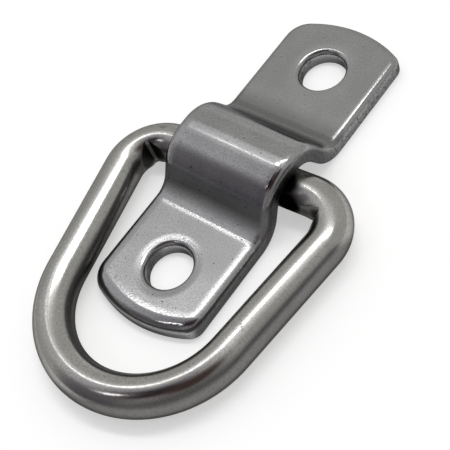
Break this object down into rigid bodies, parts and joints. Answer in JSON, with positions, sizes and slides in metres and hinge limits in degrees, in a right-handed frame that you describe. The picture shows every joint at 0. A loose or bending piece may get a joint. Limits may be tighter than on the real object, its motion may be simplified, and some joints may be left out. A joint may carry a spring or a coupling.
{
  "type": "ring on plate",
  "caption": "Flat strip plate pressed up into a saddle over the straight bar of a hinged D-ring, with a bolt hole in the tab at each end.",
  "frame": {"origin": "midway between the two fixing holes, on the mounting face", "axes": "+Z out of the mounting face, +Y along the plate away from the ring's bow at rest, +X across the plate along the ring's bar"},
  "size_m": [0.0557, 0.0943, 0.0119],
  "materials": {
    "plate_steel": "polished",
    "ring_steel": "polished"
  },
  "bodies": {
    "plate": {"saddle_plate": "plate_steel"},
    "ring": {"d_ring": "ring_steel"}
  },
  "joints": [
    {"name": "ring_hinge", "type": "hinge", "parent": "plate", "child": "ring", "pos_m": [0.0004, -0.0018, 0.004], "axis": [-0.9981, -0.061, 0], "range_deg": [0, 180]}
  ]
}
